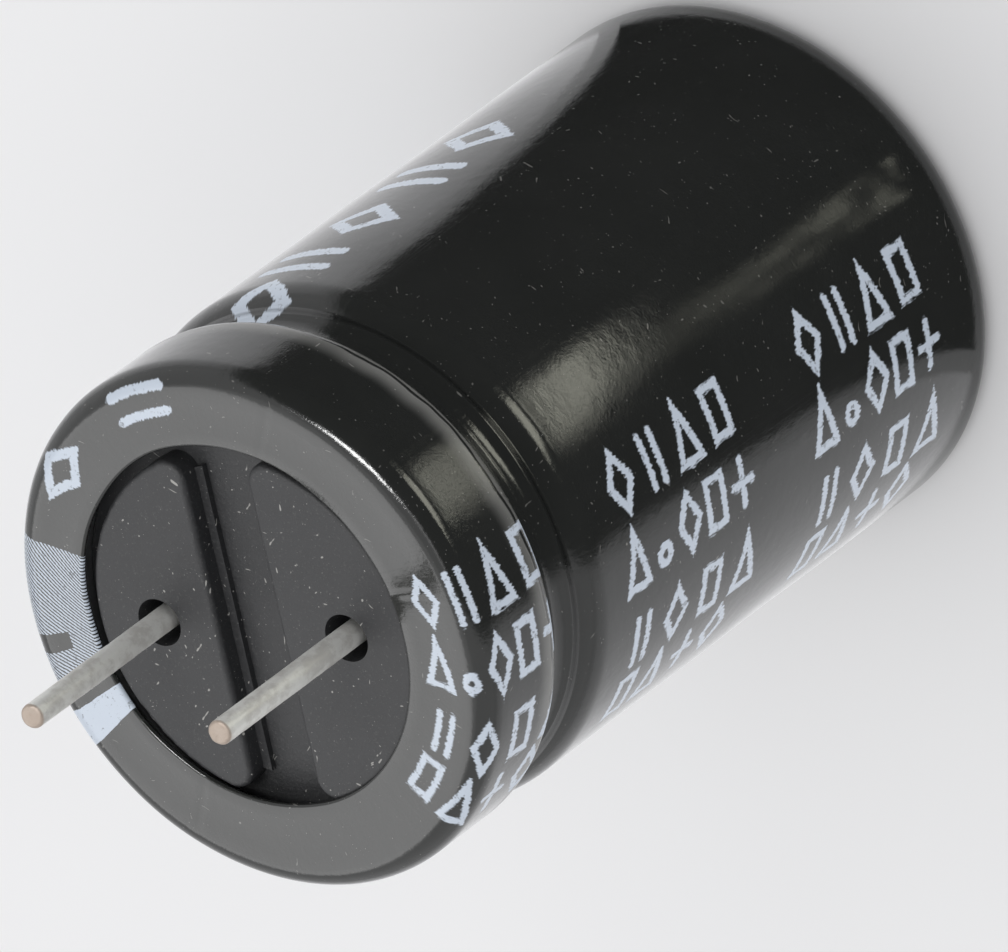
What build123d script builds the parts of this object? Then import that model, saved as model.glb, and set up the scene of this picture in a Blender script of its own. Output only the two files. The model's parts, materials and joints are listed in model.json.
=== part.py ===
from build123d import *
import os
from math import cos, radians, sin, tan

# Radial aluminium electrolytic capacitor: a shrink-sleeved can with a rolled groove and a curled
# rim, closed by a rubber bung that two tinned leads pass through. It stands on its vent end, with
# the leads pointing up. Millimetres, +Z up, origin at the middle of the face that it stands on,
# the two leads side by side along X, and the negative one on the -X side.

# Overall
body_length = 20.2              # from the standing face to the sleeve over the rim
can_diameter = 12.5
lead_pitch = 5.2                # between the two lead centres
lead_length = 4.85              # how far each lead stands above the rim

# Sleeve: one shrunk tube, turned in over both ends of the can
sleeve_wall = 0.15
sleeve_mouth_gap = 0.15         # round the pads of the bung
sleeve_mouth_shift = (-0.1, 0.13)   # the tube shrank a little off centre
sleeve_turn_in = 1.35           # width of its ring under the vent end
sleeve_dip_angle = 50.0         # slope at which it leaves the shoulder of the groove
sleeve_dip_share = 0.9          # part of the free slope that its bottom curve takes up

# Can: one deep-drawn aluminium cup
can_wall = 0.3
can_corner_r = 0.45             # outside bend between its base and its wall
groove_from_top = 3.45          # from the top of the sleeve down to the middle of the groove
groove_depth = 0.9
groove_angle = 65.0             # slope of its flanks, measured from the wall
groove_shoulder_r = 0.4         # outside bends at its edges
groove_bottom_r = 0.5           # outside bend at its bottom
curl_r = 0.42                   # outside bends of the curled rim
curl_width = 1.45               # how far the rim is turned in
curl_drop = 0.75                # how far its edge is turned down again
vent_margin = 1.1               # from the sleeve's ring to the ends of the scored cross
vent_width = 0.25
vent_depth = 0.12

# Rubber bung
seal_gap = 0.01                 # between the rubber and what it seals against
bung_depth = 5.0                # from the top of the sleeve to its lower face
pad_inset = 0.49                # from the edge of the curl to the circle that both pads lie in
pad_below_rim = 0.1             # top of the pads under the top of the sleeve
pad_height = 0.65               # from the floor of the valley between them
pad_corner_r = 0.5              # rounding of their corners, seen from above
pad_edge_r = 0.15               # rounding of their upper edges
negative_pad_reach = 1.6        # from each lead to the edge of its pad at the valley
positive_pad_reach = 1.82
ledge_width = 0.22              # low step along the foot of the negative pad
ledge_height = 0.16
hole_mouth_d = 1.15             # hole round each lead in the top of its pad
hole_mouth_depth = 1.5          # from the top of the pad down to the wider bore of the boss

# Tabs: a round boss, pressed flat below into a paddle
boss_d = 1.5
boss_gap = 0.01                 # round the boss in its bore
boss_stand_out = 0.4            # how far the round boss stands out under the bung
boss_press = 0.5                # height over which it is pressed flat
paddle_thickness = 0.3
paddle_width = 2.4
paddle_above_base = 3.6         # from the foot of the winding to the end of each paddle
weld_height = 0.35              # weld cone between the boss and the lead
weld_d = 1.0

# Leads
lead_d = 0.6
lead_end_r = 0.1                # rounding of the cut end
lead_foot_d = 0.7               # foot of the lead, upset by the weld inside the hole
lead_foot_below_pad = 0.1       # from the pad's top to the end of the foot's taper

# Winding and its tape
winding_gap = 0.38              # between its tape and the can's wall
winding_below_bung = 1.15
winding_core_d = 3.0            # hole left by the mandrel
paddle_gap = 0.03               # round each paddle in the winding
tape_thickness = 0.08
tape_margin = 2.2               # bare paper above and below the tape

# Places that follow from the sizes above
can_r = can_diameter / 2
can_base_z = sleeve_wall
can_top_z = body_length - sleeve_wall
groove_z = body_length - groove_from_top
curl_edge_r = can_r - curl_width
curl_edge_z = can_top_z - curl_drop
pad_circle_d = 2 * (curl_edge_r - pad_inset)
pad_top_z = body_length - pad_below_rim
valley_z = pad_top_z - pad_height
sleeve_mouth_d = pad_circle_d + 2 * sleeve_mouth_gap
sleeve_foot_d = can_diameter + 2 * sleeve_wall - 2 * sleeve_turn_in
bung_bottom_z = body_length - bung_depth
boss_top_z = pad_top_z - hole_mouth_depth
boss_bottom_z = bung_bottom_z - boss_stand_out
paddle_top_z = boss_bottom_z - boss_press
winding_bottom_z = can_base_z + can_wall
winding_top_z = bung_bottom_z - winding_below_bung
tape_d = 2 * (can_r - can_wall - winding_gap)
winding_d = tape_d - 2 * tape_thickness
lead_bottom_z = boss_top_z + weld_height
lead_foot_top_z = pad_top_z - lead_foot_below_pad
lead_top_z = body_length + lead_length
negative_x = -lead_pitch / 2
positive_x = lead_pitch / 2

# The groove is a V with rounded edges and a rounded bottom
groove_slope = tan(radians(groove_angle))
groove_v_depth = groove_depth + groove_bottom_r * (1 / cos(radians(groove_angle)) - 1)
groove_v_half = groove_v_depth / groove_slope

# The sleeve follows the same shoulder and then dips less steeply, so it bridges the groove
dip_slope = tan(radians(sleeve_dip_angle))
dip_bend = groove_shoulder_r * tan(radians(sleeve_dip_angle / 2))
dip_v_half = groove_v_half + groove_shoulder_r * tan(radians(groove_angle / 2)) - dip_bend
dip_v_depth = dip_v_half * dip_slope
dip_free_slope = dip_v_depth / sin(radians(sleeve_dip_angle)) - dip_bend
dip_bottom_r = sleeve_dip_share * dip_free_slope / dip_slope


def turned(section):
    """Turn a section, drawn with its radius along X and its height along Y, round the Z axis."""
    return revolve(Plane.XZ * section, Axis.Z)


def disc(diameter, bottom_z, top_z, x=0.0, y=0.0):
    """A round bar from bottom_z to top_z, centred on x, y."""
    bar = Cylinder(diameter / 2, top_z - bottom_z, align=(Align.CENTER, Align.CENTER, Align.MIN))
    return Pos(x, y, bottom_z) * bar


def block(x_range, y_range, z_range):
    """A rectangular block between the given limits."""
    ranges = (x_range, y_range, z_range)
    size = [high - low for low, high in ranges]
    middle = [(high + low) / 2 for low, high in ranges]
    return Pos(*middle) * Box(*size)


def largest(shape):
    """The largest solid of a shape that a cut has parted."""
    return shape.solids().sort_by(SortBy.VOLUME)[-1]


def can_outline():
    """Outside line of the can, from the middle of its base to the edge of its curled rim."""
    points = [
        (0, can_base_z),
        (can_r, can_base_z),
        (can_r, groove_z - groove_v_half),
        (can_r - groove_v_depth, groove_z),
        (can_r, groove_z + groove_v_half),
        (can_r, can_top_z),
        (curl_edge_r, can_top_z),
        (curl_edge_r, curl_edge_z),
    ]
    bends = [can_corner_r, groove_shoulder_r, groove_bottom_r, groove_shoulder_r, curl_r, curl_r]
    return FilletPolyline(*points, radius=bends)


def sleeve_outline():
    """Inside line of the sleeve: the can's outside line, with a dip that bridges the groove."""
    points = [
        (sleeve_foot_d / 2, can_base_z),
        (can_r, can_base_z),
        (can_r, groove_z - dip_v_half),
        (can_r - dip_v_depth, groove_z),
        (can_r, groove_z + dip_v_half),
        (can_r, can_top_z),
        (pad_circle_d / 4, can_top_z),
    ]
    bends = [can_corner_r, groove_shoulder_r, dip_bottom_r, groove_shoulder_r, curl_r]
    return FilletPolyline(*points, radius=bends)


def make_sleeve():
    """Shrunk tube with a thin even wall and a round mouth, a little off centre."""
    section = make_face(offset(sleeve_outline(), sleeve_wall, side=Side.RIGHT))
    mouth = disc(sleeve_mouth_d, groove_z, body_length + sleeve_wall, *sleeve_mouth_shift)
    return turned(section) - mouth


def make_can():
    """Drawn cup with an even wall, a rolled groove, a curled rim and a scored vent."""
    cup = turned(make_face(offset(can_outline(), can_wall, side=Side.LEFT)))
    reach = sleeve_foot_d / 2 - vent_margin
    along = (-reach, reach)
    across = (-vent_width / 2, vent_width / 2)
    height = (can_base_z - vent_depth, can_base_z + vent_depth)
    return cup - (block(along, across, height) + block(across, along, height))


def make_pad(x_range):
    """Raised pad of the bung: the part of a disc that lies in x_range, with rounded edges."""
    pad = disc(pad_circle_d, valley_z, pad_top_z)
    pad = pad & block(x_range, (-can_r, can_r), (valley_z, pad_top_z))
    pad = fillet(pad.edges().filter_by(Axis.Z).filter_by(GeomType.LINE), pad_corner_r)
    return fillet(pad.faces().sort_by(Axis.Z)[-1].edges(), pad_edge_r)


def make_bung():
    """Moulded plug, squeezed by the groove and held by the rim, with two pads and two holes."""
    keep_off = turned(make_face(offset(can_outline(), can_wall + seal_gap, side=Side.LEFT)))
    plug = disc(can_diameter, bung_bottom_z, can_top_z - can_wall - seal_gap)
    rim_slot = disc(2 * (curl_edge_r + can_wall), curl_edge_z - seal_gap, body_length)
    rim_slot -= disc(2 * (curl_edge_r - seal_gap), curl_edge_z - seal_gap, body_length)
    plug = largest(plug - keep_off - rim_slot - disc(2 * curl_edge_r, valley_z, body_length))

    negative_edge = negative_x + negative_pad_reach
    positive_edge = positive_x - positive_pad_reach
    plug += make_pad((-can_r, negative_edge))
    plug += make_pad((positive_edge, can_r))
    ledge = block((negative_edge - pad_corner_r, negative_edge + ledge_width), (-can_r, can_r),
                  (valley_z, valley_z + ledge_height))
    plug += ledge & disc(pad_circle_d - 2 * pad_corner_r, valley_z, pad_top_z)

    for x in (negative_x, positive_x):
        plug -= disc(hole_mouth_d, boss_top_z, body_length, x)
        plug -= disc(boss_d + 2 * boss_gap, bung_bottom_z, boss_top_z, x)
    return plug


def make_tab(x):
    """Aluminium tab: weld cone, round boss through the bung, and a paddle wound into the foil."""
    boss = disc(boss_d, boss_bottom_z, boss_top_z, x)
    round_end = Pos(x, 0, boss_bottom_z) * Circle(boss_d / 2)
    flat_end = Pos(x, 0, paddle_top_z) * Rectangle(paddle_thickness, paddle_width)
    pressed = loft([flat_end, round_end])
    half_thickness = paddle_thickness / 2
    paddle = block((x - half_thickness, x + half_thickness), (-paddle_width / 2, paddle_width / 2),
                   (winding_bottom_z + paddle_above_base, paddle_top_z))
    weld = Cone(weld_d / 2, lead_foot_d / 2, weld_height, align=(Align.CENTER, Align.CENTER, Align.MIN))
    return boss + pressed + paddle + Pos(x, 0, boss_top_z) * weld


def make_lead(x):
    """Straight tinned wire, upset where it is welded to its tab, with a slightly rounded end."""
    wire = disc(lead_d, lead_foot_top_z, lead_top_z, x)
    wire = fillet(wire.edges().sort_by(Axis.Z)[-1], lead_end_r)
    foot = Cone(lead_foot_d / 2, lead_d / 2, lead_foot_top_z - lead_bottom_z,
                align=(Align.CENTER, Align.CENTER, Align.MIN))
    return wire + Pos(x, 0, lead_bottom_z) * foot


def make_winding():
    """Roll of foils and papers, with the mandrel's hole and a slot round each paddle."""
    roll = disc(winding_d, winding_bottom_z, winding_top_z)
    roll -= disc(winding_core_d, winding_bottom_z, winding_top_z)
    half_slot = paddle_thickness / 2 + paddle_gap
    half_width = paddle_width / 2 + paddle_gap
    slot_z = (winding_bottom_z + paddle_above_base - paddle_gap, winding_top_z)
    for x in (negative_x, positive_x):
        roll -= block((x - half_slot, x + half_slot), (-half_width, half_width), slot_z)
    return roll


def make_winding_tape():
    """One turn of tape that keeps the roll closed."""
    bottom_z = winding_bottom_z + tape_margin
    top_z = winding_top_z - tape_margin
    return disc(tape_d, bottom_z, top_z) - disc(winding_d, bottom_z, top_z)


pieces = {
    "sleeve": make_sleeve(),
    "can": make_can(),
    "rubber_bung": make_bung(),
    "winding": make_winding(),
    "winding_tape": make_winding_tape(),
    "negative_tab": make_tab(negative_x),
    "positive_tab": make_tab(positive_x),
    "negative_lead": make_lead(negative_x),
    "positive_lead": make_lead(positive_x),
}

os.makedirs("parts", exist_ok=True)
for name, piece in pieces.items():
    export_step(piece, f"parts/{name}.step")
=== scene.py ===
"""Looks of a radial aluminium electrolytic capacitor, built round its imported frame.

The capacitor stands on its vent end with its leads up. The shrink sleeve and the two leads are
modelled here as fine meshes. The bung, the can, the tabs and the winding keep their solid shapes
and get their finishes here.
"""
import json
import logging
import math
from dataclasses import dataclass, field
from enum import Enum
from typing import Any, Optional

import bpy
import numpy as np
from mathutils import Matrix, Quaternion, Vector

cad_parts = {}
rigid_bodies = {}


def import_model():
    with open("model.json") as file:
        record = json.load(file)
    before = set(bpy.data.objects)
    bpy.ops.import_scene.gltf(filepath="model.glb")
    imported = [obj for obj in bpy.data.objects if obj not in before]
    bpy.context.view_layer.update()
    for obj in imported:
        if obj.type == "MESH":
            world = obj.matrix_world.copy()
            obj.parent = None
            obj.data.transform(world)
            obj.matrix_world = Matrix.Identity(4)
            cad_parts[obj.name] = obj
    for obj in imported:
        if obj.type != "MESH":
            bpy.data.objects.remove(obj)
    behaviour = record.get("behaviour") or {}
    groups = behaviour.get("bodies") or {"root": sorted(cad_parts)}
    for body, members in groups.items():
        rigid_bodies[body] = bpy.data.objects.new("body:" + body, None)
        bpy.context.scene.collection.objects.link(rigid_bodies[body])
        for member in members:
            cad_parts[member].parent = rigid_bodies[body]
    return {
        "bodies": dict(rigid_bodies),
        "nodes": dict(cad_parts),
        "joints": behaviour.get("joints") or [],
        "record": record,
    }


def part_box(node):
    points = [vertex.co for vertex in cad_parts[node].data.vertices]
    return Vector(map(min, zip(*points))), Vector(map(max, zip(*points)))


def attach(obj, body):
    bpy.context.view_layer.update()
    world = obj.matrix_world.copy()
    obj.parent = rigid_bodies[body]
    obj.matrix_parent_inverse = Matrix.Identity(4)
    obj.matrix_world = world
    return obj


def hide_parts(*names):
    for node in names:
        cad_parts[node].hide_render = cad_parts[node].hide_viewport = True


LOG = logging.getLogger("capacitor")
MM = 0.001
ROOT = "root"
BLACK = (0, 0, 0, 1)


# ---------------------------------------------------------------- shader building

class Graph:
    """A thin layer over a node tree: makes nodes, joins sockets and sets plain values."""

    def __init__(self, tree: bpy.types.NodeTree) -> None:
        """Keeps the tree that the nodes go into.

        Args:
            tree: The node tree of a material, a world or a node group.
        """
        self.tree = tree

    def put(self, socket: bpy.types.NodeSocket, value: Any) -> None:
        """Links a socket to another one, or sets it to a plain value.

        Args:
            socket: The input socket.
            value: An output socket, a number or a tuple.
        """
        if isinstance(value, bpy.types.NodeSocket):
            self.tree.links.new(value, socket)
        else:
            socket.default_value = value

    def node(self, kind: str, inputs: Optional[dict] = None, **settings: Any) -> bpy.types.Node:
        """Makes a node with its settings and inputs.

        Args:
            kind: The node's type name.
            inputs: Input name or index to a socket or a plain value.
            settings: Attributes of the node.

        Returns:
            The new node.
        """
        made = self.tree.nodes.new(kind)
        for name, value in settings.items():
            setattr(made, name, value)
        for name, value in (inputs or {}).items():
            self.put(made.inputs[name], value)
        return made

    def math(self, operation: str, *values: Any, clamp: bool = False) -> bpy.types.NodeSocket:
        """Arithmetic on one, two or three values, as Blender's Math node does it."""
        inputs = dict(enumerate(values))
        return self.node("ShaderNodeMath", inputs, operation=operation, use_clamp=clamp).outputs[0]

    def add(self, a: Any, b: Any) -> bpy.types.NodeSocket:
        """a plus b."""
        return self.math("ADD", a, b)

    def sub(self, a: Any, b: Any) -> bpy.types.NodeSocket:
        """a minus b."""
        return self.math("SUBTRACT", a, b)

    def mul(self, a: Any, b: Any) -> bpy.types.NodeSocket:
        """a times b."""
        return self.math("MULTIPLY", a, b)

    def both(self, a: Any, b: Any) -> bpy.types.NodeSocket:
        """The smaller of a and b."""
        return self.math("MINIMUM", a, b)

    def either(self, a: Any, b: Any) -> bpy.types.NodeSocket:
        """The larger of a and b."""
        return self.math("MAXIMUM", a, b)

    def magnitude(self, a: Any) -> bpy.types.NodeSocket:
        """a without its sign."""
        return self.math("ABSOLUTE", a)

    def hypot(self, a: Any, b: Any) -> bpy.types.NodeSocket:
        """The square root of a squared plus b squared."""
        return self.math("SQRT", self.math("MULTIPLY_ADD", a, a, self.mul(b, b)))

    def between(self, value: Any, low: float, high: float) -> bpy.types.NodeSocket:
        """1 where the value lies between low and high, and 0 elsewhere."""
        return self.mul(self.math("GREATER_THAN", value, low), self.math("LESS_THAN", value, high))

    def fade(self, value: Any, start: Any, end: Any) -> bpy.types.NodeSocket:
        """0 at start, 1 at end, and a smooth step from one to the other."""
        inputs = {"Value": value, "From Min": start, "From Max": end}
        step = self.node("ShaderNodeMapRange", inputs, interpolation_type="SMOOTHSTEP")
        return step.outputs["Result"]

    def rescale(self, value: Any, low: Any, high: Any) -> bpy.types.NodeSocket:
        """Stretches a value that runs from 0 to 1 so that it runs from low to high."""
        inputs = {"Value": value, "To Min": low, "To Max": high}
        return self.node("ShaderNodeMapRange", inputs).outputs["Result"]

    def split(self, vector: Any) -> tuple:
        """The X, Y and Z of a vector, as three sockets."""
        return tuple(self.node("ShaderNodeSeparateXYZ", {0: vector}).outputs)

    def join(self, x: Any, y: Any, z: Any = 0.0) -> bpy.types.NodeSocket:
        """A vector from three values."""
        return self.node("ShaderNodeCombineXYZ", {0: x, 1: y, 2: z}).outputs[0]

    def scaled(self, vector: Any, scale: tuple, turn: tuple = (0, 0, 0)) -> bpy.types.NodeSocket:
        """A vector turned and then stretched along each axis."""
        turned = self.node("ShaderNodeMapping", {"Vector": vector, "Rotation": turn}).outputs[0]
        return self.node("ShaderNodeMapping", {"Vector": turned, "Scale": scale}).outputs[0]

    def noise(self, vector: Any, scale: float, detail: float = 2.0,
              roughness: float = 0.5) -> bpy.types.NodeSocket:
        """Soft random values round 0.5."""
        inputs = {"Vector": vector, "Scale": scale, "Detail": detail, "Roughness": roughness}
        return self.node("ShaderNodeTexNoise", inputs).outputs[0]

    def blend(self, amount: Any, first: Any, second: Any) -> bpy.types.NodeSocket:
        """A colour between two, first at 0 and second at 1."""
        mixer = self.node("ShaderNodeMix", data_type="RGBA")
        self.put(mixer.inputs[0], amount)
        self.put(mixer.inputs[6], first)
        self.put(mixer.inputs[7], second)
        return mixer.outputs[2]

    def bump(self, height: Any, distance: float) -> bpy.types.NodeSocket:
        """A surface normal tilted by a height field that is distance metres high."""
        inputs = {"Height": height, "Distance": distance, "Strength": 1.0}
        return self.node("ShaderNodeBump", inputs).outputs[0]

    def millimetres(self) -> bpy.types.NodeSocket:
        """The place on the object, in millimetres."""
        place = self.node("ShaderNodeTexCoord").outputs["Object"]
        return self.scaled(place, (1 / MM, 1 / MM, 1 / MM))

    def place(self, group: bpy.types.NodeTree, **inputs: Any) -> bpy.types.NodeOutputs:
        """Places a node group and returns its outputs."""
        made = self.node("ShaderNodeGroup", node_tree=group)
        for name, value in inputs.items():
            self.put(made.inputs[name], value)
        return made.outputs


def new_group(name: str, inputs: dict, outputs: tuple) -> tuple:
    """Starts a shader node group with named sockets.

    Args:
        name: The group's name.
        inputs: Socket name to its default, a number or a tuple of three.
        outputs: Names of the outputs, each a number.

    Returns:
        The group, a Graph on it, its input sockets and its output node.
    """
    group = bpy.data.node_groups.new(name, "ShaderNodeTree")
    for label, default in inputs.items():
        kind = "NodeSocketVector" if isinstance(default, tuple) else "NodeSocketFloat"
        socket = group.interface.new_socket(label, in_out="INPUT", socket_type=kind)
        socket.default_value = default
    for label in outputs:
        group.interface.new_socket(label, in_out="OUTPUT", socket_type="NodeSocketFloat")
    graph = Graph(group)
    return group, graph, graph.node("NodeGroupInput").outputs, graph.node("NodeGroupOutput").inputs


def new_material(name: str) -> tuple:
    """Starts a material with one Principled BSDF.

    Args:
        name: The material's name.

    Returns:
        The material, a Graph on it and its Principled node.
    """
    material = bpy.data.materials.new(name)
    material.use_nodes = True
    principled = next(n for n in material.node_tree.nodes if n.type == "BSDF_PRINCIPLED")
    return material, Graph(material.node_tree), principled


def dust_group() -> bpy.types.NodeTree:
    """Dust on a surface: round specks of three sizes and short fibres.

    A speck is where the distance to a random point is less than a radius of its own. A fibre is
    the same on coordinates stretched ten times along one direction. Only a share of the points
    carries one.

    Returns:
        A group from a Vector in millimetres and an Amount to Specks and Fibres, both 0 to 1.
    """
    group, g, given, out = new_group(
        "dust", {"Vector": (0.0, 0.0, 0.0), "Amount": 1.0}, ("Specks", "Fibres"))
    specks = None
    for scale, share, size in ((12.0, 0.30, 0.13), (5.0, 0.16, 0.09), (1.9, 0.17, 0.065)):
        cells = g.node("ShaderNodeTexVoronoi", {"Vector": given["Vector"], "Scale": scale})
        pick = g.split(cells.outputs["Color"])
        kept = g.math("LESS_THAN", pick[0], g.mul(given["Amount"], share))
        radius = g.math("MULTIPLY_ADD", pick[1], size, size * 0.4)
        speck = g.mul(kept, g.fade(cells.outputs["Distance"], radius, g.mul(radius, 0.55)))
        specks = speck if specks is None else g.either(specks, speck)
    fibres = None
    for turn, share in ((0.35, 0.035), (1.4, 0.03), (2.3, 0.035)):
        bent = g.mul(g.noise(given["Vector"], 1.6, 1.0), 0.6)
        tilt = g.node("ShaderNodeVectorMath", {0: given["Vector"], 1: g.join(bent, bent, bent)},
                      operation="ADD").outputs[0]
        along = g.scaled(tilt, (0.8, 10.0, 10.0), (0.3 * turn, 0.2, turn))
        cells = g.node("ShaderNodeTexVoronoi", {"Vector": along, "Scale": 1.0})
        kept = g.math("LESS_THAN", g.split(cells.outputs["Color"])[0],
                      g.mul(given["Amount"], share))
        fibre = g.mul(kept, g.fade(cells.outputs["Distance"], 0.26, 0.16))
        fibres = fibre if fibres is None else g.either(fibres, fibre)
    g.put(out["Specks"], specks)
    g.put(out["Fibres"], fibres)
    return group


def mottle_group() -> bpy.types.NodeTree:
    """Uneven gloss and grain: a coarse, a middle and a fine noise, added with falling weight.

    Returns:
        A group from a Vector in millimetres to Coarse, Fine and Height, all round 0.5.
    """
    group, g, given, out = new_group(
        "mottle", {"Vector": (0.0, 0.0, 0.0)}, ("Coarse", "Fine", "Height"))
    coarse = g.noise(given["Vector"], 0.45, 3.0, 0.55)
    fine = g.noise(given["Vector"], 14.0, 4.0, 0.65)
    middle = g.noise(given["Vector"], 3.0, 3.0, 0.5)
    g.put(out["Coarse"], coarse)
    g.put(out["Fine"], fine)
    g.put(out["Height"], g.math("MULTIPLY_ADD", fine, 0.35, g.mul(middle, 0.65)))
    return group


class Mark(Enum):
    """The plain shapes that the print is made of."""

    SMALL_RING = 0
    TRIANGLE = 1
    DIAMOND = 2
    SQUARE = 3
    PLUS = 4
    TWIN_BARS = 5


def marks_group(rows: dict) -> bpy.types.NodeTree:
    """Distance to a plain shape, chosen by a cell's row and place in the row.

    Each shape is a distance in millimetres: a bar is the distance to an upright line, a ring the
    distance to a circle, and a triangle, diamond and square the distance to the edge of the larger
    of their side distances.

    Args:
        rows: Row number to the list of its marks.

    Returns:
        A group from X, Y, Row and Place to Distance.
    """
    group, g, given, out = new_group(
        "print_marks", {"X": 0.0, "Y": 0.0, "Row": 0.0, "Place": 0.0}, ("Distance",))
    x, y = g.magnitude(given["X"]), given["Y"]
    tall = g.magnitude(y)

    def upright(across: Any, half: float) -> bpy.types.NodeSocket:
        """Distance to an upright line of that half height."""
        return g.hypot(across, g.either(g.sub(tall, half), 0.0))

    side = g.math("DIVIDE", g.add(g.mul(x, 1.16), g.mul(g.sub(y, 0.58), 0.36)), 1.215)
    slope = g.math("DIVIDE", g.sub(g.add(g.mul(x, 0.6), g.mul(tall, 0.36)), 0.216), 0.70)
    shapes = {
        Mark.SMALL_RING: g.magnitude(g.sub(g.hypot(x, g.add(y, 0.28)), 0.19)),
        Mark.TRIANGLE: g.magnitude(g.either(side, g.sub(g.mul(y, -1.0), 0.58))),
        Mark.DIAMOND: g.magnitude(slope),
        Mark.SQUARE: g.magnitude(g.either(g.sub(x, 0.28), g.sub(tall, 0.54))),
        Mark.PLUS: g.both(upright(x, 0.5), g.hypot(y, g.either(g.sub(x, 0.33), 0.0))),
        Mark.TWIN_BARS: upright(g.magnitude(g.sub(x, 0.2)), 0.56),
    }
    distance: Any = 0.0
    filled: Any = 0.0
    for row, marks in rows.items():
        in_row = g.math("COMPARE", given["Row"], float(row), 0.4)
        for place, mark in enumerate(marks):
            here = g.mul(in_row, g.math("COMPARE", given["Place"], float(place), 0.4))
            distance = g.math("MULTIPLY_ADD", here, shapes[mark], distance)
            filled = g.add(filled, here)
    g.put(out["Distance"], g.add(distance, g.sub(1.0, filled)))
    return group


# ---------------------------------------------------------------- meshes

def filleted(points: list, radii: list, arc_steps: int = 10) -> np.ndarray:
    """A path of straight runs joined by tangent arcs.

    At each corner the arc starts at radius times the tangent of half the turn before the corner,
    and its points lie on a circle that touches both runs.

    Args:
        points: The corners, as (radius, height).
        radii: One bend radius for each inner corner.
        arc_steps: Points along each arc.

    Returns:
        The path's points, one row each.
    """
    corners = np.array(points, float)
    rows = [corners[:1]]
    for before, corner, after, radius in zip(corners, corners[1:], corners[2:], radii):
        back, ahead = before - corner, after - corner
        back, ahead = back / np.linalg.norm(back), ahead / np.linalg.norm(ahead)
        half = math.acos(float(np.clip(back @ ahead, -1, 1))) / 2
        middle = back + ahead
        centre = corner + middle / np.linalg.norm(middle) * radius / math.sin(half)
        reach = radius / math.tan(half)
        start, end = corner + back * reach - centre, corner + ahead * reach - centre
        first, last = math.atan2(start[1], start[0]), math.atan2(end[1], end[0])
        turn = (last - first + math.pi) % (2 * math.pi) - math.pi
        angle = first + turn * np.linspace(0, 1, arc_steps)
        rows.append(centre + radius * np.column_stack([np.cos(angle), np.sin(angle)]))
    rows.append(corners[-1:])
    return np.vstack(rows)


def evenly(path: np.ndarray, step: float) -> np.ndarray:
    """Adds points to a path so that no run is longer than step; its own points stay.

    Args:
        path: The path's points.
        step: The longest run.

    Returns:
        The finer path.
    """
    length = np.linalg.norm(np.diff(path, axis=0), axis=1)
    parts = np.maximum(np.ceil(length / step).astype(int), 1)
    where = np.concatenate([i + np.arange(n) / n for i, n in enumerate(parts)] + [[len(path) - 1]])
    index = np.arange(len(path))
    return np.column_stack([np.interp(where, index, path[:, k]) for k in (0, 1)])


def smooth_noise(seed: int, waves: int, u: np.ndarray, v: np.ndarray, reach: float) -> np.ndarray:
    """Soft random relief round a closed surface: a sum of sine waves with random phases.

    Each wave is the sine of a whole number of turns round plus a rate along, so it closes on
    itself, and all waves together are scaled to about plus or minus one.

    Args:
        seed: Seed of the random phases.
        waves: Number of waves.
        u: Angle round, in radians.
        v: Place along, in millimetres.
        reach: Shortest length of a wave along, in millimetres.

    Returns:
        The relief, of u and v's common shape.
    """
    rng = np.random.default_rng(seed)
    turns = rng.integers(0, 9, waves)
    rate = rng.uniform(-1, 1, waves) * 2 * math.pi / reach
    phase = rng.uniform(0, 2 * math.pi, waves)
    total = np.zeros(np.broadcast(u, v).shape)
    for n, k, p in zip(turns, rate, phase):
        total += np.sin(n * u + k * v + p)
    return total / math.sqrt(waves) / 1.5


def grid_mesh(name: str, surface: np.ndarray, closed_along: bool,
              uv: Optional[np.ndarray] = None) -> bpy.types.Object:
    """Makes an object from a grid of points that closes on itself round its first index.

    Face i, j has the corners i, i+1 round and j, j+1 along. The faces point outwards where the
    angle grows anticlockwise and the path runs with the surface's outside on its right.

    Args:
        name: The object's name.
        surface: Points in millimetres, of shape (round, along, 3).
        closed_along: Whether the path along closes on itself as well.
        uv: Coordinates of shape (round + 1, along, 2), with the seam given twice.

    Returns:
        The new object.
    """
    around, along = surface.shape[:2]
    i = np.arange(around)[:, None]
    steps = along if closed_along else along - 1
    j = np.arange(steps)[None, :]
    i2, j2 = (i + 1) % around, (j + 1) % along
    quads = np.stack([i * along + j, i2 * along + j, i2 * along + j2, i * along + j2], -1)
    mesh = bpy.data.meshes.new(name)
    mesh.from_pydata((surface.reshape(-1, 3) * MM).tolist(), [], quads.reshape(-1, 4).tolist())
    if uv is not None:
        corners = np.stack([uv[i, j], uv[i + 1, j], uv[i + 1, j2], uv[i, j2]], -2)
        layer = mesh.uv_layers.new(name="tube")
        layer.data.foreach_set("uv", corners.reshape(-1).astype(np.float32))
    mesh.shade_smooth()
    mesh.update()
    piece = bpy.data.objects.new(name, mesh)
    bpy.context.scene.collection.objects.link(piece)
    return piece


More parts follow.
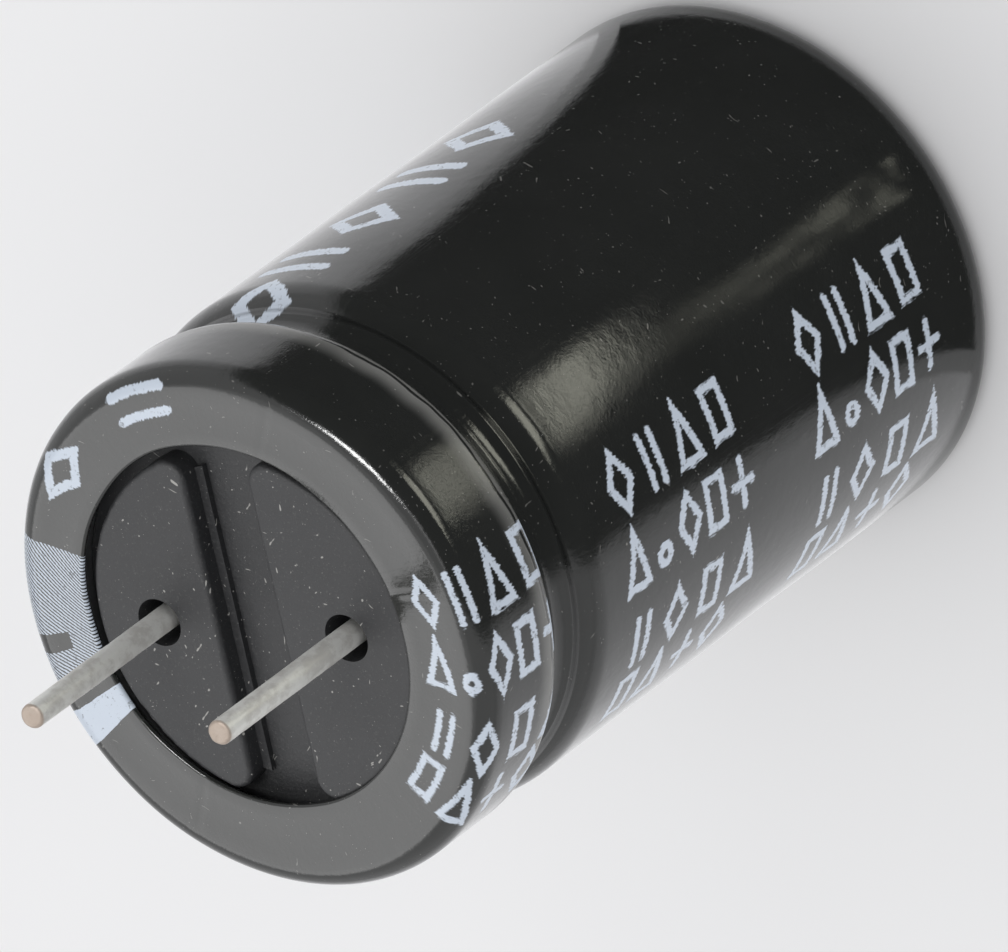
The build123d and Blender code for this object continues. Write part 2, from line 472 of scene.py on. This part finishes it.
@dataclass
class ShrinkSleeve:
    """The black sleeve: an even film shrunk over the can, the groove and the curled rim."""

    radius: float
    height: float
    wall: float = 0.15
    corner_r: float = 0.6
    rim_r: float = 0.57
    foot_r: float = 5.05
    mouth_r: float = 4.46
    mouth_shift: tuple = (-0.1, 0.13)
    groove_from_top: float = 3.45
    groove_half: float = 0.80
    groove_depth: float = 0.95
    shoulder_r: float = 0.55
    body_shoulder_r: float = 1.0
    groove_bottom_r: float = 0.66
    around: int = 384
    step: float = 0.3
    uv_start: float = math.radians(-100)
    slack: float = 0.018
    side_relief: float = 0.012
    top_relief: float = 0.010
    mouth_relief: float = 0.025
    top_sag: float = 0.02
    folds: tuple = ((14.0, 0.022, 0.07, 4.3, 5.5), (-119.0, -0.012, 0.07, 4.3, 6.1),
                    (71.0, -0.014, 0.06, 4.6, 6.2), (-150.0, 0.006, 0.25, 4.3, 5.9))

    def profile(self) -> np.ndarray:
        """Outside line of the sleeve, from its ring under the vent end to its mouth.

        Returns:
            Points as (radius, height).
        """
        groove_z = self.height - self.groove_from_top
        points = [
            (self.foot_r, 0),
            (self.radius, 0),
            (self.radius, groove_z - self.groove_half),
            (self.radius - self.groove_depth, groove_z),
            (self.radius, groove_z + self.groove_half),
            (self.radius, self.height),
            (self.mouth_r, self.height),
        ]
        radii = [self.corner_r, self.body_shoulder_r, self.groove_bottom_r, self.shoulder_r,
                 self.rim_r]
        return evenly(filleted(points, radii), self.step)

    def tube_place(self, line: np.ndarray) -> np.ndarray:
        """How far each point lay along the flat tube before it was shrunk.

        Below the rim it is the depth under the top, and over the rim the length along the line.

        Args:
            line: Points as (radius, height).

        Returns:
            Millimetres, 0 at the top of the side, growing towards the vent end.
        """
        run = np.diff(line, axis=0)
        over_rim = line[1:, 1] > self.height - self.rim_r - 1e-6
        step = np.where(over_rim, np.hypot(run[:, 0], run[:, 1]), run[:, 1])
        below = np.concatenate([[0], np.cumsum(step)])
        return self.height - below

    def build(self) -> bpy.types.Object:
        """Builds the sleeve as one closed skin of outside, lips and inside.

        The point at angle a and place s along the line is (r cos a, r sin a, z). Near the mouth it
        is moved sideways so that the opening is a little off centre, and the radius has a soft
        relief of a few hundredths of a millimetre.

        Returns:
            The sleeve's object.
        """
        line = self.profile()
        place = self.tube_place(line)
        run = np.gradient(line, axis=0)
        normal = np.column_stack([run[:, 1], -run[:, 0]])
        normal /= np.linalg.norm(normal, axis=1)[:, None]
        lip = 5
        bend = np.linspace(0, math.pi, lip + 2)[1:-1, None]
        middle = line - normal * self.wall / 2
        along = run / np.linalg.norm(run, axis=1)[:, None]
        end_lip = middle[-1] + self.wall / 2 * (np.cos(bend) * normal[-1] + np.sin(bend) * along[-1])
        foot_lip = middle[0] + self.wall / 2 * (-np.cos(bend) * normal[0] - np.sin(bend) * along[0])
        inside = (line - normal * self.wall)[::-1]
        ring = np.vstack([line, end_lip, inside, foot_lip])
        depth = np.concatenate([place, np.full(lip, place[-1]), place[::-1], np.full(lip, place[0])])

        angle = self.uv_start + np.linspace(0, 2 * math.pi, self.around + 1)
        a, r = angle[:-1, None], ring[None, :, 0]
        z = ring[None, :, 1] + 0 * a
        side = np.clip((self.height - 4.4 - z) / 2.0, 0, 1) * np.clip((z - 1.0) / 2.0, 0, 1)
        relief = self.side_relief * smooth_noise(3, 40, a, depth[None, :], 4.0) * side
        top = np.clip((z - self.height + 2.0) / 2.0, 0, 1)
        relief += self.top_relief * smooth_noise(5, 30, 2 * a, depth[None, :], 2.5) * top
        radius = r - self.slack + relief
        near_mouth = np.clip((self.radius - self.rim_r - r) / (self.radius - self.rim_r - self.mouth_r),
                             0, 1) * (z > self.height / 2)
        flat = near_mouth * (1 - near_mouth) * 4
        z = z - self.top_sag * flat + self.wrinkles(a, r, z)
        wobble = self.mouth_relief * smooth_noise(9, 14, a, 0 * r, 9.0) * near_mouth
        radius = radius + wobble
        x = radius * np.cos(a) + self.mouth_shift[0] * near_mouth
        y = radius * np.sin(a) + self.mouth_shift[1] * near_mouth
        uv = np.stack(np.broadcast_arrays(angle[:, None] * self.radius, depth[None, :]), -1)
        return grid_mesh("shrink_sleeve", np.stack([x, y, z], -1), True, uv)

    def wrinkles(self, a: np.ndarray, r: np.ndarray, z: np.ndarray) -> np.ndarray:
        """Small radial folds in the flat ring over the rim.

        Each of folds is an angle, a height, a width and the radii that it lies between. A fold is a
        bell curve of the distance across it, faded out towards the rim and the mouth.

        Args:
            a: Angle of each point.
            r: Radius of each point.
            z: Height of each point.

        Returns:
            The lift of each point, in millimetres.
        """
        lift = np.zeros(np.broadcast(a, r).shape)
        for degrees, height, width, inner, outer in self.folds:
            offset = (a - math.radians(degrees) + math.pi) % (2 * math.pi) - math.pi
            across = offset * r / width
            along = np.clip((r - inner) * 6, 0, 1) * np.clip((outer - r) * 3, 0, 1)
            lift = lift + height * np.exp(-across ** 2) * along
        return lift * (z > self.height - 0.5)


@dataclass
class LeadWire:
    """One tinned wire: round, straight, faintly dented, with a cut end."""

    name: str
    x: float
    bottom: float
    top: float
    radius: float
    seed: int
    around: int = 72
    step: float = 0.045
    rounding: tuple = (0.04, 0.09)
    dent: float = 0.006

    def build(self) -> bpy.types.Object:
        """Builds the wire as a closed skin.

        The profile runs from the middle of the lower end, up the side and over a rounded edge to
        the middle of the cut end. The radius has soft dents, and the cut end a slight slope.

        Returns:
            The wire's object.
        """
        points = [(0.0, self.bottom), (self.radius, self.bottom), (self.radius, self.top),
                  (0.0, self.top)]
        line = evenly(filleted(points, list(self.rounding), 8), self.step)
        line[0, 0] = line[-1, 0] = 1e-4
        a = np.linspace(0, 2 * math.pi, self.around, endpoint=False)[:, None]
        r, z = line[None, :, 0], line[None, :, 1] + 0 * a
        fine = smooth_noise(self.seed, 40, a, z, 0.5)
        long = smooth_noise(self.seed + 1, 20, a, z, 2.5)
        dents = (np.minimum(fine, 0.1) + np.minimum(long, 0.2)) * self.dent
        share = r / self.radius
        radius = r + (dents - self.dent) * share
        slope = np.clip((z - self.top + 0.2) / 0.2, 0, 1)
        z = z - slope * (0.02 + 0.03 * share * np.cos(a - 0.6) + 0.008 * fine * share)
        x = self.x + radius * np.cos(a)
        return grid_mesh(self.name, np.stack([x, radius * np.sin(a), z], -1), False)


# ---------------------------------------------------------------- finishes

DUST_COLOUR = (0.50, 0.49, 0.46, 1)


@dataclass(frozen=True)
class Print:
    """Layout of the pale print: rows of plain marks, a negative stripe and a side of large shapes."""

    radius: float
    rim_r: float
    stretch: float = 1.35
    period: float = 7.45
    start: float = 5.45
    row_centres: tuple = (1.28, -0.60, -2.70, -4.36)
    row_pitch: tuple = (1.27, 1.04, 1.37, 1.2)
    row_marks: tuple = (
        (Mark.DIAMOND, Mark.TWIN_BARS, Mark.TRIANGLE, Mark.SQUARE),
        (Mark.TRIANGLE, Mark.SMALL_RING, Mark.DIAMOND, Mark.SQUARE, Mark.PLUS),
        (Mark.TWIN_BARS, Mark.DIAMOND, Mark.SQUARE, Mark.TRIANGLE),
        (Mark.SQUARE, Mark.TRIANGLE, Mark.PLUS, Mark.DIAMOND))
    stripe_from: float = 161.6
    hatch_to: float = 197.6
    solid_from: float = 203.0
    stripe_to: float = 211.5
    bar_from: float = 184.9
    bar_to: float = 189.3
    hatch_pitch: float = 0.125
    row_half: float = 0.95
    mark_scale: tuple = (0.95, 0.92)
    large_line: float = 0.10
    shake: float = 0.21
    large_shapes: tuple = (
        ("lozenge", 99, 12.6, 0.8), ("bar", 100, 10.9, 0.85), ("bar", 100, 10.1, 0.85),
        ("lozenge", 99, 8.1, 0.8), ("bar", 100, 6.3, 0.85), ("bar", 100, 5.5, 0.85),
        ("lozenge", 100, 4.1, 0.7), ("bar", 107, -1.25, 0.8), ("bar", 107, -0.35, 0.8),
        ("lozenge", 140, -0.9, 0.8))

    def along(self, degrees: float) -> float:
        """Millimetres round the sleeve for an angle in degrees."""
        return math.radians(degrees) * self.radius

    def depth(self, g: Graph, v: Any) -> bpy.types.NodeSocket:
        """Depth in the print for a depth on the tube: over the rim it runs faster."""
        over = g.either(g.sub(self.rim_r, v), 0.0)
        return g.sub(v, g.mul(over, self.stretch - 1))

    def rows(self, g: Graph, u: Any, t: Any) -> bpy.types.NodeSocket:
        """Distance to the marks of the repeated block.

        The block repeats along the tube. In a row each mark has a cell one pitch long, and the
        mark stands in the middle of its cell.
        """
        edges = [(a + b) / 2 for a, b in zip(self.row_centres, self.row_centres[1:])]
        limits = [self.row_centres[0] + self.row_half, *edges,
                  self.row_centres[-1] - self.row_half]
        row: Any = -1.0
        centre: Any = 0.0
        pitch: Any = 1.0
        for i, (c, p) in enumerate(zip(self.row_centres, self.row_pitch)):
            here = g.between(u, limits[i + 1], limits[i])
            row = g.math("MULTIPLY_ADD", here, i + 1.0, row)
            centre = g.math("MULTIPLY_ADD", here, c, centre)
            pitch = g.math("MULTIPLY_ADD", here, p - 1.0, pitch)
        local = g.math("FLOORED_MODULO", g.sub(t, self.start), self.period)
        cell = g.math("DIVIDE", local, pitch)
        place = g.math("FLOOR", cell)
        x = g.mul(g.mul(g.sub(g.sub(cell, place), 0.5), pitch), self.mark_scale[0])
        y = g.mul(g.sub(u, centre), self.mark_scale[1])
        rows = {i: marks for i, marks in enumerate(self.row_marks)}
        return g.place(marks_group(rows), X=x, Y=y, Row=row, Place=place)["Distance"]

    def large(self, g: Graph, u: Any, t: Any) -> bpy.types.NodeSocket:
        """Distance to large plain shapes on one side.

        Each of large_shapes is a kind, an angle, a depth and a half size. A lozenge is where the
        sum of both offsets equals its size, and a bar the distance to a line across the tube.
        """
        total: Any = 9.0
        for kind, degrees, t_at, size in self.large_shapes:
            across, down = g.sub(u, self.along(degrees)), g.sub(t, t_at)
            if kind == "lozenge":
                reach = g.add(g.magnitude(across), g.mul(g.magnitude(down), 1.25))
                shape = g.magnitude(g.mul(g.sub(reach, size), 0.66))
            else:
                shape = g.hypot(g.either(g.sub(g.magnitude(across), size), 0.0), down)
            total = g.both(total, shape)
        return g.sub(total, self.large_line)

    def stripe(self, g: Graph, u: Any, t: Any) -> bpy.types.NodeSocket:
        """Ink of the negative stripe: a fine diagonal hatch with a dark bar, and a solid edge."""
        lines = g.math("FLOORED_MODULO", g.mul(g.add(u, g.mul(t, 0.75)), 1 / self.hatch_pitch), 1.0)
        hatch = g.mul(g.fade(g.magnitude(g.sub(lines, 0.5)), 0.34, 0.22),
                      g.between(u, self.along(self.stripe_from), self.along(self.hatch_to)))
        minus_t = g.math("FLOORED_MODULO", g.add(t, 1.49), self.period / 2)
        minus = g.mul(g.between(u, self.along(self.bar_from), self.along(self.bar_to)),
                      g.math("LESS_THAN", minus_t, 1.35))
        solid = g.between(u, self.along(self.solid_from), self.along(self.stripe_to))
        return g.either(g.mul(hatch, g.sub(1.0, minus)), solid)

    def ink(self, g: Graph, u: Any, v: Any, point: Any) -> bpy.types.NodeSocket:
        """How much ink covers a place, 0 to 1, with ragged edges drawn out along the tube."""
        t = self.depth(g, v)
        hair = g.noise(g.join(g.mul(u, 15.0), g.mul(t, 3.0)), 1.0, 2.0, 0.6)
        wobble = g.noise(g.join(g.mul(u, 2.5), g.mul(t, 2.5)), 1.0, 1.0)
        shake = g.mul(g.sub(hair, 0.5), self.shake)
        u2 = g.math("MULTIPLY_ADD", g.sub(wobble, 0.5), 0.12, u)
        small = g.add(self.rows(g, u2, t), shake)
        large = g.add(self.large(g, u2, t), shake)
        marks = g.either(g.fade(small, 0.125, 0.065), g.fade(large, 0.10, 0.04))
        worn = g.fade(g.noise(point, 5.0, 4.0, 0.7), 0.33, 0.42)
        return g.mul(g.either(marks, self.stripe(g, g.add(u, g.mul(shake, 0.3)), t)),
                     g.rescale(worn, 0.45, 1.0))


@dataclass(frozen=True)
class SleeveFinish:
    """Glossy black film with print, dust, fine scratches, an uneven gloss and a painted reflection band
    along the groove.
    """

    layout: Print
    dust: bpy.types.NodeTree
    mottle: bpy.types.NodeTree
    colour: tuple = (0.0145, 0.0155, 0.0145, 1)
    ink_colour: tuple = (0.50, 0.56, 0.64, 1)
    film_colour: tuple = (0.022, 0.023, 0.022, 1)
    # colour of the painted reflection band on the groove shoulder
    painted_reflection_colour: tuple = (0.20, 0.20, 0.19, 1)
    roughness: tuple = (0.045, 0.15)
    relief: float = 0.000008

    def material(self) -> bpy.types.Material:
        """Builds the sleeve's material."""
        material, g, principled = new_material("sleeve_gloss")
        point = g.millimetres()
        tube = g.node("ShaderNodeUVMap", uv_map="tube").outputs[0]
        u, v, _ = g.split(tube)
        soft = g.place(self.mottle, Vector=point)
        dirt = g.place(self.dust, Vector=point, Amount=0.6)
        ink = self.layout.ink(g, u, v, point)
        painted_reflection = self.painted_reflection(g, u, v)
        film = g.blend(soft["Coarse"], self.colour, self.film_colour)
        # painted reflection: the pale band of light on the groove shoulder is mixed into the film
        # colour
        film_with_painted_reflection = g.blend(painted_reflection, film, self.painted_reflection_colour)
        printed = g.blend(ink, film_with_painted_reflection, self.ink_colour)
        dusty = g.either(g.mul(dirt["Specks"], 0.34), g.mul(dirt["Fibres"], 0.20))
        g.put(principled.inputs["Base Color"], g.blend(dusty, printed, DUST_COLOUR))
        gloss = g.rescale(soft["Coarse"], *self.roughness)
        gloss = g.math("MULTIPLY_ADD", ink, 0.22, g.math("MULTIPLY_ADD", painted_reflection, 0.25, gloss))
        g.put(principled.inputs["Roughness"], g.math("MULTIPLY_ADD", dusty, 0.5, gloss))
        scratch_at = g.join(g.mul(u, 7.0), g.mul(v, 0.18), 0.0)
        scratch = g.fade(g.magnitude(g.sub(g.noise(scratch_at, 1.0, 1.0), 0.5)), 0.0, 0.012)
        relief = g.add(soft["Height"], g.mul(scratch, 0.035))
        relief = g.math("MULTIPLY_ADD", ink, 0.35, relief)
        g.put(principled.inputs["Normal"], g.bump(relief, self.relief))
        principled.inputs["IOR"].default_value = 1.5
        return material

    def painted_reflection(self, g: Graph, u: Any, v: Any) -> bpy.types.NodeSocket:
        """Painted reflection on the shoulder of the groove: a soft pale band that stands in for light
        the groove reflects from above, with a fine dark crease left in it.
        """
        sway = g.mul(g.sub(g.noise(g.join(g.mul(u, 0.5), 0.0), 1.0, 2.0), 0.5), 0.5)
        at = g.add(v, sway)
        band = g.mul(g.fade(at, 1.9, 2.5), g.fade(at, 3.05, 2.6))
        crease = g.fade(g.magnitude(g.sub(at, 2.52)), 0.03, 0.07)
        patch = g.rescale(g.noise(g.join(g.mul(u, 0.35), g.mul(v, 0.6)), 1.0, 3.0), 0.4, 1.0)
        return g.mul(g.mul(band, crease), patch)


@dataclass(frozen=True)
class RubberFinish:
    """Matte black moulded rubber, greyed by dust that clings to it."""

    dust: bpy.types.NodeTree
    mottle: bpy.types.NodeTree
    colour: tuple = (0.0145, 0.015, 0.0165, 1)
    grey: tuple = (0.023, 0.024, 0.0265, 1)
    roughness: tuple = (0.47, 0.72)
    relief: float = 0.00004

    def material(self) -> bpy.types.Material:
        """Builds the bung's material."""
        material, g, principled = new_material("bung_rubber")
        point = g.millimetres()
        soft = g.place(self.mottle, Vector=point)
        dirt = g.place(self.dust, Vector=point, Amount=1.0)
        rubber = g.blend(soft["Coarse"], self.colour, self.grey)
        dusty = g.either(g.mul(dirt["Specks"], 0.55), g.mul(dirt["Fibres"], 0.65))
        powder = g.mul(g.fade(soft["Fine"], 0.55, 0.75), 0.10)
        g.put(principled.inputs["Base Color"], g.blend(g.either(dusty, powder), rubber, DUST_COLOUR))
        g.put(principled.inputs["Roughness"], g.rescale(soft["Fine"], *self.roughness))
        g.put(principled.inputs["Normal"], g.bump(soft["Height"], self.relief))
        return material


@dataclass(frozen=True)
class MetalFinish:
    """Bare metal with drawn lines along one axis, dull patches and small pits."""

    name: str
    colour: tuple
    dull: tuple
    roughness: tuple
    lines: tuple
    mottle: bpy.types.NodeTree
    relief: float = 0.000008
    metallic: float = 1.0
    tip_from: Optional[float] = None
    tip_colour: tuple = (0.30, 0.23, 0.18, 1)

    def material(self) -> bpy.types.Material:
        """Builds the metal; above tip_from, in millimetres, it is tinted like a cut end."""
        material, g, principled = new_material(self.name)
        point = g.millimetres()
        soft = g.place(self.mottle, Vector=point)
        drawn = g.noise(g.scaled(point, self.lines), 1.0, 4.0, 0.6)
        patches = g.fade(g.noise(point, 2.2, 5.0, 0.65), 0.42, 0.62)
        colour = g.blend(patches, self.colour, self.dull)
        if self.tip_from is not None:
            tip = g.mul(g.fade(g.split(point)[2], self.tip_from, self.tip_from + 0.07), 0.85)
            colour = g.blend(tip, colour, self.tip_colour)
        g.put(principled.inputs["Base Color"], colour)
        g.put(principled.inputs["Metallic"], self.metallic)
        g.put(principled.inputs["Roughness"], g.rescale(drawn, *self.roughness))
        height = g.math("MULTIPLY_ADD", drawn, 0.7, g.mul(soft["Height"], 0.8))
        g.put(principled.inputs["Normal"], g.bump(height, self.relief))
        return material


@dataclass(frozen=True)
class RollFinish:
    """Soaked paper with foil edges that show as fine rings round the axis."""

    name: str
    colour: tuple
    other: tuple
    pitch: float
    mottle: bpy.types.NodeTree
    roughness: tuple = (0.5, 0.8)
    relief: float = 0.00002

    def material(self) -> bpy.types.Material:
        """Builds the roll: the two colours alternate with the distance from the axis."""
        material, g, principled = new_material(self.name)
        point = g.millimetres()
        x, y, _ = g.split(point)
        soft = g.place(self.mottle, Vector=point)
        far = g.add(g.hypot(x, y), g.mul(soft["Coarse"], 0.12))
        turn = g.math("SINE", g.mul(far, 2 * math.pi / self.pitch))
        rings = g.fade(turn, -0.2, 0.5)
        g.put(principled.inputs["Base Color"], g.blend(rings, self.colour, self.other))
        g.put(principled.inputs["Roughness"], g.rescale(soft["Fine"], *self.roughness))
        height = g.math("MULTIPLY_ADD", rings, 0.6, soft["Height"])
        g.put(principled.inputs["Normal"], g.bump(height, self.relief))
        return material


# ---------------------------------------------------------------- the capacitor

@dataclass
class Capacitor:
    """The whole part: fine pieces for what shows, and finishes for every node."""

    frame: dict
    dust: bpy.types.NodeTree = field(default_factory=dust_group)
    mottle: bpy.types.NodeTree = field(default_factory=mottle_group)

    def measure(self, node: str) -> tuple:
        """Low and high corners of a node, in millimetres."""
        low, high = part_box(node)
        return np.array(low) / MM, np.array(high) / MM

    def wear(self, piece: bpy.types.Object, material: bpy.types.Material) -> None:
        """Gives a piece its one material."""
        piece.data.materials.clear()
        piece.data.materials.append(material)
        LOG.info("%s: %d faces, %s", piece.name, len(piece.data.polygons), material.name)

    def add_sleeve(self) -> None:
        """Builds, dresses and places the sleeve in the CAD sleeve's stead."""
        low, high = self.measure("sleeve")
        radius = float(high[0] - low[0]) / 2
        shape = ShrinkSleeve(radius=radius, height=float(high[2]))
        piece = shape.build()
        layout = Print(radius=radius, rim_r=shape.rim_r)
        self.wear(piece, SleeveFinish(layout, self.dust, self.mottle).material())
        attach(piece, ROOT)
        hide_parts("sleeve")

    def add_leads(self) -> None:
        """Builds, dresses and places the two leads in the CAD leads' stead."""
        top = float(self.measure("positive_lead")[1][2])
        finish = MetalFinish("lead_tin", (0.72, 0.72, 0.69, 1), (0.58, 0.57, 0.54, 1), (0.40, 0.66),
                             (9, 9, 1.2), self.mottle, 0.00002, 0.45, top - 0.14)
        material = finish.material()
        for seed, node in ((21, "negative_lead"), (31, "positive_lead")):
            low, high = self.measure(node)
            wire = LeadWire(node + "_wire", float(low[0] + high[0]) / 2, float(low[2]) + 0.02,
                            float(high[2]), 0.3, seed)
            piece = wire.build()
            self.wear(piece, material)
            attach(piece, ROOT)
            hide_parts(node)

    def dress_nodes(self) -> None:
        """Puts finishes on the bung and on the inner pieces, whose meshes stay as they are."""
        roll = RollFinish("winding_roll", (0.62, 0.55, 0.42, 1), (0.42, 0.41, 0.40, 1), 0.16,
                          self.mottle)
        tape = RollFinish("winding_tape", (0.52, 0.40, 0.20, 1), (0.48, 0.36, 0.18, 1), 2.0,
                          self.mottle)
        can = MetalFinish("can_aluminium", (0.78, 0.79, 0.80, 1), (0.68, 0.69, 0.70, 1),
                          (0.22, 0.40), (6, 6, 0.5), self.mottle)
        tab = MetalFinish("tab_aluminium", (0.70, 0.71, 0.72, 1), (0.56, 0.57, 0.58, 1),
                          (0.35, 0.55), (3, 3, 8), self.mottle)
        tab_material = tab.material()
        finishes = {
            "rubber_bung": RubberFinish(self.dust, self.mottle).material(),
            "can": can.material(),
            "winding": roll.material(),
            "winding_tape": tape.material(),
            "negative_tab": tab_material,
            "positive_tab": tab_material,
        }
        for node, material in finishes.items():
            piece = self.frame["nodes"][node]
            for slot in piece.material_slots:
                slot.material = material
            LOG.info("%s: %s", node, material.name)


# ---------------------------------------------------------------- the studio

def towards(azimuth: float, elevation: float) -> Vector:
    """Unit vector for an azimuth from +X towards +Y and an elevation, both in degrees."""
    a, e = math.radians(azimuth), math.radians(elevation)
    return Vector((math.cos(a) * math.cos(e), math.sin(a) * math.cos(e), math.sin(e)))


@dataclass(frozen=True)
class SoftLight:
    """A rectangular light that looks at the capacitor."""

    name: str
    azimuth: float
    elevation: float
    distance: float
    size: tuple
    radiance: float
    only_gloss: bool = False

    def place(self, target: Vector) -> None:
        """Makes the light; its power is radiance times pi times its area."""
        data = bpy.data.lights.new(self.name, "AREA")
        data.shape = "RECTANGLE"
        data.size, data.size_y = self.size
        data.energy = self.radiance * math.pi * self.size[0] * self.size[1]
        light = bpy.data.objects.new(self.name, data)
        direction = towards(self.azimuth, self.elevation)
        light.location = target + direction * self.distance
        light.rotation_euler = direction.to_track_quat("Z", "Y").to_euler()
        light.visible_camera = False
        light.visible_diffuse = not self.only_gloss
        bpy.context.scene.collection.objects.link(light)


@dataclass(frozen=True)
class GlossCard:
    """A sector of a ring or of a wall, in millimetres, that only mirror-like reflections see.

    The first azimuth, the radii and the heights are pairs, for the inner and the outer edge.
    """

    name: str
    from_azimuth: tuple
    to_azimuth: float
    radii: tuple
    heights: tuple
    radiance: tuple
    patchy: bool = False

    def place(self) -> None:
        """Makes the sector as a fan of quads between its two edges."""
        steps = max(int((self.to_azimuth - self.from_azimuth[0]) / 3), 2) + 1
        start = np.radians([self.from_azimuth])
        share = np.linspace(0, 1, steps)[:, None]
        a = start + (math.radians(self.to_azimuth) - start) * share
        r, z = np.array([self.radii]), np.array([self.heights])
        points = np.stack([r * np.cos(a), r * np.sin(a), z + 0 * a], -1)
        i = np.arange(steps - 1) * 2
        faces = np.stack([i, i + 1, i + 3, i + 2], -1)
        mesh = bpy.data.meshes.new(self.name)
        mesh.from_pydata((points.reshape(-1, 3) * MM).tolist(), [], faces.tolist())
        card = bpy.data.objects.new(self.name, mesh)
        bpy.context.scene.collection.objects.link(card)
        material, g, principled = new_material(self.name)
        glow = self.radiance
        if self.patchy:
            patches = g.fade(g.noise(g.millimetres(), 1.1, 4.0, 0.7), 0.46, 0.64)
            glow = g.blend(patches, BLACK, glow)
        g.put(principled.inputs["Base Color"], BLACK)
        g.put(principled.inputs["Specular IOR Level"], 0.0)
        g.put(principled.inputs["Emission Color"], glow)
        g.put(principled.inputs["Emission Strength"], 1.0)
        mesh.materials.append(material)
        for ray in ("camera", "diffuse", "shadow", "transmission", "volume_scatter"):
            setattr(card, "visible_" + ray, False)


@dataclass(frozen=True)
class Studio:
    """A pale floor, a plain pale surround, soft lights and a few reflection cards."""

    floor_size: float = 8.0
    floor_gap: float = 0.00002
    floor_greys: tuple = ((0.78, 0.78, 0.785, 1), (0.86, 0.86, 0.86, 1))
    surround: tuple = (0.80, 0.80, 0.81, 1)
    surround_strength: float = 1.17

    def build(self, target: Vector) -> None:
        """Sets the stage."""
        half = self.floor_size / 2
        corners = [(-half, -half), (half, -half), (half, half), (-half, half)]
        corners = [(x, y, -self.floor_gap) for x, y in corners]
        mesh = bpy.data.meshes.new("floor")
        mesh.from_pydata(corners, [], [(0, 1, 2, 3)])
        floor = bpy.data.objects.new("floor", mesh)
        bpy.context.scene.collection.objects.link(floor)
        material, g, principled = new_material("floor_white")
        point = g.millimetres()
        cloud = g.noise(point, 0.05, 2.0, 0.5)
        pale = g.blend(cloud, *self.floor_greys)
        g.put(principled.inputs["Base Color"], pale)
        g.put(principled.inputs["Roughness"], 0.9)
        g.put(principled.inputs["Specular IOR Level"], 0.0)
        mesh.materials.append(material)
        world = bpy.data.worlds.new("surround")
        bpy.context.scene.world = world
        world.use_nodes = True
        background = next(n for n in world.node_tree.nodes if n.type == "BACKGROUND")
        background.inputs["Color"].default_value = self.surround
        background.inputs["Strength"].default_value = self.surround_strength
        for light in (
                SoftLight("key", 212, 56, 0.5, (0.5, 0.45), 0.38),
                SoftLight("key_gloss", 212, 46, 0.6, (0.44, 0.34), 1.75, True),
                SoftLight("rim_strip", 80, 67, 0.5, (0.17, 0.11), 30.0, True),
                SoftLight("window", 20, 62, 0.6, (0.3, 0.2), 1.2)):
            light.place(target)
        dark = (0.004, 0.004, 0.004, 1)
        warm = (4.6, 4.6, 3.9, 1)
        foam = (1.05, 1.05, 1.07, 1)
        glimmer = (1.5, 1.5, 1.25, 1)
        for card in (
                GlossCard("flag_floor", (-19, -19), 113, (6.9, 160), (0.04, 0.04), dark),
                GlossCard("flag_wall", (-19, -19), 113, (160, 160), (0, 330), dark),
                GlossCard("foam_left", (119, 119), 215, (6.9, 90), (0.06, 0.06), foam),
                GlossCard("foam_right", (-130, -130), -25, (6.9, 90), (0.06, 0.06), foam),
                GlossCard("streak", (22, 22), 32, (7.6, 17.8), (0.08, 0.08), glimmer, True),
                GlossCard("pane_a", (30, 17), 43, (18.6, 21.4), (0.10, 0.10), warm),
                GlossCard("pane_c", (28, 17), 43, (38, 150), (0.10, 0.10), warm),
                GlossCard("pane_b", (28, 18), 43, (24.4, 26.6), (0.10, 0.10), warm)):
            card.place()
        bpy.context.scene.view_settings.view_transform = "Standard"


@dataclass(frozen=True)
class Camera:
    """A long lens above one side, rolled so that the leads point down and to the left."""

    place_mm: tuple = (348.22, 215.47, 425.34)
    target_mm: tuple = (0.301, -0.486, 10.869)
    roll: float = 126.6
    lens: float = 931.6

    def build(self) -> None:
        """Makes the camera and hands it to the scene."""
        place, target = Vector(self.place_mm) * MM, Vector(self.target_mm) * MM
        look = (target - place).normalized()
        upright = look.to_track_quat("-Z", "Y")
        data = bpy.data.cameras.new("camera")
        data.lens, data.sensor_width = self.lens, 36
        camera = bpy.data.objects.new("camera", data)
        camera.location = place
        camera.rotation_mode = "QUATERNION"
        camera.rotation_quaternion = Quaternion(look, math.radians(self.roll)) @ upright
        bpy.context.scene.collection.objects.link(camera)
        bpy.context.scene.camera = camera


def main() -> None:
    """Builds the stage and the capacitor."""
    logging.basicConfig(level=logging.INFO, format="%(message)s")
    capacitor = Capacitor(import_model())
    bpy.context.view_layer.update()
    capacitor.add_sleeve()
    capacitor.add_leads()
    capacitor.dress_nodes()
    Studio().build(Vector(Camera.target_mm) * MM)
    Camera().build()


if __name__ == "__main__":
    main()
